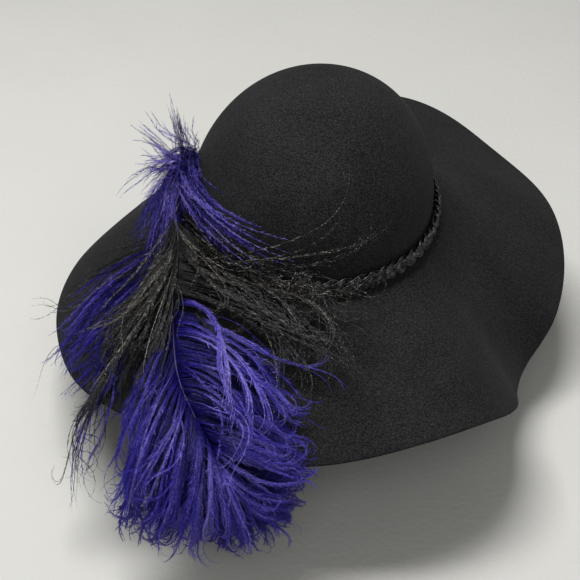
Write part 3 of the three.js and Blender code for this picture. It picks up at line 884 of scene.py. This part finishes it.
# black barbs over the side plume's violet ones
SIDE_OVER = SIDE_PLUME | {"layer": 0.3, "depth": 0.004, "barbule": 0.0028}
VIOLET_PLUME = {
    "quill": (
        (221, 0.14, 0.62),
        (236, 0.48, 0.42),
        (245, 0.75, 0.38),
        (250, 0.88, 0.37),
        (254, 0.99, 0.36),
        (256, 1.06, 0.36),
    ),
    "left": (
        (0, 0.84, 24, 0),
        (0.25, 0.88, 24, -12),
        (0.42, 0.80, 31, -30),
        (0.55, 0.72, 33, -38),
        (0.67, 0.62, 25, -43),
        (0.8, 0.52, 12, -46),
        (0.92, 0.45, -6, -52),
        (1, 0.42, -10, -30),
    ),
    "right": (
        (0, 1.0, 60, 92),
        (0.14, 0.96, 62, 100),
        (0.25, 0.82, 60, 100),
        (0.4, 0.7, 58, 95),
        (0.55, 0.62, 56, 80),
        (0.7, 0.55, 36, 8),
        (0.85, 0.55, 22, -34),
        (1, 0.46, 8, -20),
    ),
    "crowding": 1.5,
    "strand": (3, 6),
    "lock": (2, 5),
    "loose": 0.05,
    "shade": 1.0,
    "first": 0.3,
    "wave": 1.5,
    "layer": 0.36,
    "late": (0.8, 2.3),
    "curl": 20,
    "depth": 0.006,
    "arch": 0.011,
    "splay": 0.007,
    "hook": 125,
    "barbule": 0.0062,
    "spread": 9,
    "roll": 0.5,
    "fleck": 0.12,
}
# short barbs low under the violet vanes, which fill the gaps between the locks; their low shade paints them
# dark as painted shade
VIOLET_UNDER = VIOLET_PLUME | {
    "layer": 0.08,
    "strand": (1, 2),
    "lock": (3, 6),
    "shade": 0.25,
    "arch": 0.003,
    "barbule": 0.010,
    "spread": 20,
}
# thin single strands that curl away from the vanes
WISPS = {"strand": (1, 2), "lock": (1, 2), "curl": 40, "hook": 110, "wave": 6, "splay": 0.008}
VIOLET_WISPS = VIOLET_PLUME | WISPS | {"barbule": 0.004}
BLACK_PLUME = {
    "quill": ((211, 0.05, 1.05), (221, 0.12, 0.98), (229, 0.28, 0.86), (236, 0.45, 0.76), (239, 0.62, 0.7)),
    "left": (
        (0, 0.8, 30, -60),
        (0.18, 0.9, 18, -64),
        (0.3, 0.92, 6, -40),
        (0.5, 0.85, 0, -20),
        (1, 0.6, 0, 0),
    ),
    "right": (
        (0, 1.15, 76, 112),
        (0.28, 1.22, 74, 104),
        (0.41, 1.24, 73, 92),
        (0.55, 1.16, 66, 78),
        (1, 0.6, 40, 30),
    ),
    "crowding": 1.1,
    "strand": (3, 6),
    "lock": (1, 3),
    "loose": 0.1,
    "shade": 1.0,
    "first": 0.0,
    "wave": 1.8,
    "layer": 0.6,
    "late": (0.9, 1.4),
    "curl": 25,
    "depth": 0.004,
    "arch": 0.004,
    "splay": 0.005,
    "hook": 80,
    "barbule": 0.0034,
    "spread": 13,
    "roll": 0.9,
    "fleck": 0.3,
}
# black barbs that leave high on the crown's wall and lie along it towards the band
BLACK_WALL = BLACK_PLUME | {
    "quill": ((203, -0.3, 0.42), (207, -0.2, 0.45), (212, -0.1, 0.5), (218, 0, 0.55)),
    "right": (
        (0, 1.0, 92, 76),
        (0.3, 1.02, 96, 92),
        (0.5, 1.06, 98, 128),
        (0.65, 1.1, 92, 136),
        (0.85, 1.06, 80, 122),
        (1, 1.0, 72, 108),
    ),
    "layer": 0.3,
    "depth": 0.006,
    "curl": 12,
    "hook": 40,
}
# black barbs that fall straight down beside the quill
BLACK_FALL = BLACK_PLUME | {
    "right": ((0, 0.75, 14, 0), (0.5, 0.6, 14, 6), (1, 0.5, 14, 6)),
    "wave": 3.5,
}
BLACK_WISPS = BLACK_PLUME | WISPS | {"barbule": 0.002}
SIDE_WISPS = SIDE_OVER | WISPS | {
    "left": (
        (0, 0.7, 72, 0),
        (0.21, 0.95, 48, -20),
        (0.31, 0.95, 24, -50),
        (0.6, 1.0, 4, -10),
        (1, 0.9, -10, -10),
    ),
    "barbule": 0.0036,
    "shade": 0.8,
    "layer": 0.2,
}

# deep, full, end and pale colours, then where pale starts and ends: deep is painted shade, pale painted
# highlights
violet_barb = feather_finish(
    "violet_barbs",
    (0.003, 0.002, 0.065, 1),
    (0.034, 0.021, 0.38, 1),
    (0.026, 0.021, 0.17, 1),
    (0.33, 0.28, 0.70, 1),
    (0.51, 0.90),
    {"Specular IOR Level": 0.18},
)
# the pale beige paints glints on the black barbs
black_barb = feather_finish(
    "black_barbs",
    (0.002, 0.002, 0.003, 1),
    (0.010, 0.010, 0.011, 1),
    (0.011, 0.011, 0.013, 1),
    (0.52, 0.49, 0.42, 1),
    (0.58, 0.92),
    {"Specular IOR Level": 0.28},
)


PLUME_PIECES = {
    # plume, side, barbs, stretch of the quill
    "violet_plume_left": (
        (VIOLET_PLUME, "left", 450, (0.2, 1)),
        (VIOLET_WISPS, "left", 40, (0.2, 1)),
    ),
    "violet_plume_right": (
        (VIOLET_PLUME, "right", 480, (0.13, 1)),
        (VIOLET_WISPS, "right", 40, (0.15, 1)),
    ),
    "violet_plume_under": (
        (VIOLET_UNDER, "left", 170, (0.1, 1)),
        (VIOLET_UNDER, "right", 180, (0.18, 1)),
    ),
    "black_plume_barbs": (
        (BLACK_PLUME, "left", 150, (0, 0.36)),
        (BLACK_PLUME, "left", 8, (0.46, 0.5)),
        (BLACK_FALL, "right", 36, (0, 0.4)),
        (BLACK_PLUME, "right", 190, (0.05, 0.64)),
        (BLACK_WALL, "right", 150, (0.3, 1)),
        (BLACK_WISPS, "left", 14, (0, 0.4)),
        (BLACK_WISPS, "right", 20, (0, 0.5)),
    ),
    "side_plume_violet": (
        (SIDE_PLUME, "left", 160, (0.04, 0.36)),
        (SIDE_PLUME, "left", 40, (0.36, 1)),
        (SIDE_WISPS, "left", 30, (0.1, 0.9)),
    ),
    "side_plume_black": (
        (SIDE_OVER, "left", 14, (0, 0.1)),
        (SIDE_OVER, "left", 90, (0.28, 1)),
        (SIDE_OVER, "right", 120, (0, 1)),
        (SIDE_WISPS, "left", 30, (0.1, 0.9)),
        (SIDE_WISPS, "right", 10, (0, 1)),
    ),
}
CAD_PLUMES = {
    "violet_plume_left": "plume_violet",
    "black_plume_barbs": "plume_black",
    "side_plume_violet": "plume_side",
}
for plume_name, plume_vanes in PLUME_PIECES.items():
    plume_parts = fringe(*join(*[comb(*vane, rng) for vane in plume_vanes]), rng)
    dye = "black" if "black" in plume_name else "violet"
    plume_piece = make_barbs(plume_name, plume_parts, {"violet": violet_barb, "black": black_barb}[dye])
    if plume_name in CAD_PLUMES:
        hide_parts(CAD_PLUMES[plume_name])
    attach(plume_piece, "root")
    dye + "_feather"


# Quills. The bare shafts of the three plumes, thin, tapering and a little paler than the barbs, from the
# binding's end to the tip of each vane.
QUILL_RADIUS = 0.0008
QUILL_TAPER = 0.3
QUILL_SIDES = 10
QUILL_STEPS = 80
ROUTE_STEPS = 40
QUILL_SEATS = {"violet": (-0.05, -0.45), "black": (-0.4, 0.35), "side": (0.5, 0.1)}


def quill_tube(plume, seat):
    """A round tube along the plume's quill, tapering evenly, from its seat on the binding's end, a share of
    the binding's radius across and away from the wall."""
    centre = np.full(2, BINDING_RADIUS + BAND_GAP)
    (last, end), (_, outward) = beside_binding(np.array([0.98, 1.0]), centre)
    ahead = unit(end - last)
    across = unit(np.cross(ahead, outward))
    away = np.cross(across, ahead)
    start = end + across * seat[0] * BINDING_RADIUS + away * seat[1] * BINDING_RADIUS
    lead = start + ahead * BINDING_RADIUS
    route, _ = through_rows(quill_rows(plume), np.linspace(0, 1, ROUTE_STEPS))
    vane, _ = over_hat(*route.T)
    path, heading = through_rows(np.vstack([start, lead, vane]), np.linspace(0, 1, QUILL_STEPS))
    heading = unit(heading)
    side = unit(np.cross(heading, [0, 0, 1.0]))
    up = np.cross(side, heading)
    radius = QUILL_RADIUS * np.linspace(1, QUILL_TAPER, QUILL_STEPS)
    rings = carry_round(path, side, up, radius[:, None], QUILL_SIDES)
    return close_tube(rings, (path[:1], path[-1:]))


def quill_finish(name, deep, pale):
    shaft = Finish(name, {"Specular IOR Level": 0.4})
    grain = shaft.noise(0.0012, 2.0)
    return shaft.paint(
        {
            "Base Color": shaft.blend(deep, pale, grain),
            "Roughness": 0.38 + grain * 0.2,
            "Normal": shaft.bump(grain, 0.0002),
        }
    )


violet_shaft = quill_finish("violet_dyed_quill", (0.016, 0.012, 0.07, 1), (0.055, 0.045, 0.16, 1))
black_shaft = quill_finish("black_dyed_quill", (0.004, 0.004, 0.005, 1), (0.03, 0.03, 0.032, 1))
QUILLS = (
    # name, plume, finish, slot
    ("violet", VIOLET_PLUME, violet_shaft, "violet_feather"),
    ("black", BLACK_PLUME, black_shaft, "black_feather"),
    ("side", SIDE_PLUME, violet_shaft, "violet_feather"),
)
for quill_name, quill_plume, quill_paint, quill_slot in QUILLS:
    quill_points, quill_faces = quill_tube(quill_plume, QUILL_SEATS[quill_name])
    quill = make_piece(quill_name + "_quill", quill_points, quill_faces, quill_paint)
    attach(quill, "root")


# Tuft. A burst of short violet barbs tied on over the binding, which hides the thread. They spring up, out
# and down past the crown's left, and some trail round its front.
TUFT_REACH = 0.080
TUFT_CLEARANCE = 0.014
TUFT_BARBULE = 0.0055
TUFT_SPREAD = 15.0
TUFT_ROLL = 0.7
TUFT_FLECK = 0.2
LOOSE_SCATTER = 0.055
TUFT_LOCKS = (
    # round the crown, up, away, sag, out from the binding, scatter, all as shares of the reach, and barbs
    (0.08, 0.66, 0.04, 0.0, 0.0, 0.04, 8),
    (-0.06, 0.52, 0.14, 0.0, 0.0, 0.04, 10),
    (-0.1, 0.4, 0.32, 0.0, 0.0, 0.04, 10),
    (0.16, 0.5, 0.02, 0.0, 0.0, 0.05, 9),
    (-0.05, 0.22, 0.34, 0.04, 0.0, 0.06, 11),
    (0.05, 0.04, 0.44, 0.12, 0.0, 0.05, 9),
    (0.1, 0.08, 0.62, 0.42, 0.0, 0.02, 2),
    (0.10, 0.0, 0.46, 0.72, 0.04, 0.05, 24),
    (0.36, 0.0, 0.44, 0.84, 0.04, 0.05, 36),
    (0.52, 0.0, 0.38, 0.86, 0.04, 0.04, 46),
    (0.66, 0.0, 0.30, 0.86, 0.04, 0.04, 40),
    (0.46, 0.0, 0.14, 0.26, 0.04, 0.1, 30),
    (0.15, 0.0, 0.12, 0.2, 0.16, 0.1, 110),
    (0.70, 0.0, 0.16, 0.62, 0.0, 0.015, 8),
    (0.82, 0.26, 0.10, 0.10, 0.0, 0.06, 14),
    (1.06, 0.22, 0.16, 0.38, 0.0, 0.06, 16),
    (1.22, 0.28, 0.14, 0.42, 0.0, 0.05, 14),
    (1.34, 0.40, 0.12, 0.32, 0.0, 0.04, 11),
    (1.42, 0.30, 0.12, 0.42, 0.0, 0.03, 6),
)


def tuft_paths(rng):
    """Barbs from all over the binding. Each goes round the crown, up and away from its wall in even steps,
    and sags with the square of how far it has gone, with a scatter about its lock's own way. None dips into
    the wall, or nearer to the brim than a clearance."""
    barbs = [row[-1] for row in TUFT_LOCKS]
    lock = np.repeat(np.arange(len(TUFT_LOCKS)), barbs)
    round_to, up, away, sag, out, scatter = np.array(TUFT_LOCKS).T[:-1, lock, None]
    count = len(lock)
    share = np.linspace(0, 1, BARB_STEPS)
    size = rng.uniform(0.72, 1.05, (count, 1))
    gone = size * share
    seat = rng.uniform(0, 1, (count, 1))
    swing = rng.uniform(-1.6, 2.8, (count, 1))
    skin = BINDING_RADIUS + SKIN
    waves = share * rng.uniform(0.5, 1.4, (count, 1)) + rng.random((count, 1))
    sway = 0.03 * np.sin(2 * pi * waves) * share
    wander = rng.normal(0, 1, (3, count, 1)) * scatter
    around = (round_to + wander[0]) * gone + sway
    climb = (up + wander[1] + out * np.sin(swing)) * gone - sag * gone**2
    reach_out = (away + wander[2] + out * np.cos(swing)) * gone + sway[:, ::-1] * share
    azimuth = np.interp(seat, (0, 1), BINDING_AZIMUTHS)
    azimuth = azimuth + np.degrees(around * TUFT_REACH / break_radius(np.mean(BINDING_AZIMUTHS)))
    level = np.interp(seat, (0, 1), BINDING_HEIGHTS)
    height = level + skin * np.sin(swing) + climb * TUFT_REACH
    post, outward = crown_wall(azimuth, level)
    distance = BAND_GAP + BINDING_RADIUS + skin * np.cos(swing) + reach_out * TUFT_REACH
    path = post + outward * distance[..., None]
    path[..., 2] = height
    wall, _ = crown_wall(azimuth, height)
    inside = 0.0015 + 0.002 * share - np.sum((path - wall) * outward, axis=-1)
    path = path + outward * np.maximum(inside, 0)[..., None]
    distance = np.hypot(path[..., 0], path[..., 1])
    run = distance - break_radius(azimuth)
    for _ in range(3):
        brim, _ = brim_surface(azimuth, np.maximum(run, 0))
        run = run + distance - np.hypot(brim[..., 0], brim[..., 1])
    path[..., 2] = np.maximum(path[..., 2], brim[..., 2] + TUFT_CLEARANCE * share)
    pull = np.where(scatter[:, 0] < LOOSE_SCATTER, 0.5, 0.2)
    return gather(path, lock, pull, 0.2, 1.0, 0.5, 0.7), outward


rng = np.random.default_rng(3)
tuft_path, tuft_normal = tuft_paths(rng)
tuft_count = len(tuft_path)
tuft_parts = fringe(
    tuft_path,
    tuft_normal,
    TUFT_BARBULE * rng.uniform(0.8, 1.2, tuft_count),
    np.full(tuft_count, TUFT_SPREAD),
    np.full(tuft_count, TUFT_ROLL),
    np.full(tuft_count, TUFT_FLECK),
    rng.uniform(0, 0.95, tuft_count),
    rng,
)
tuft_barbs = make_barbs("tuft_barbs", tuft_parts, violet_barb)
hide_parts("tuft_violet")
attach(tuft_barbs, "root")
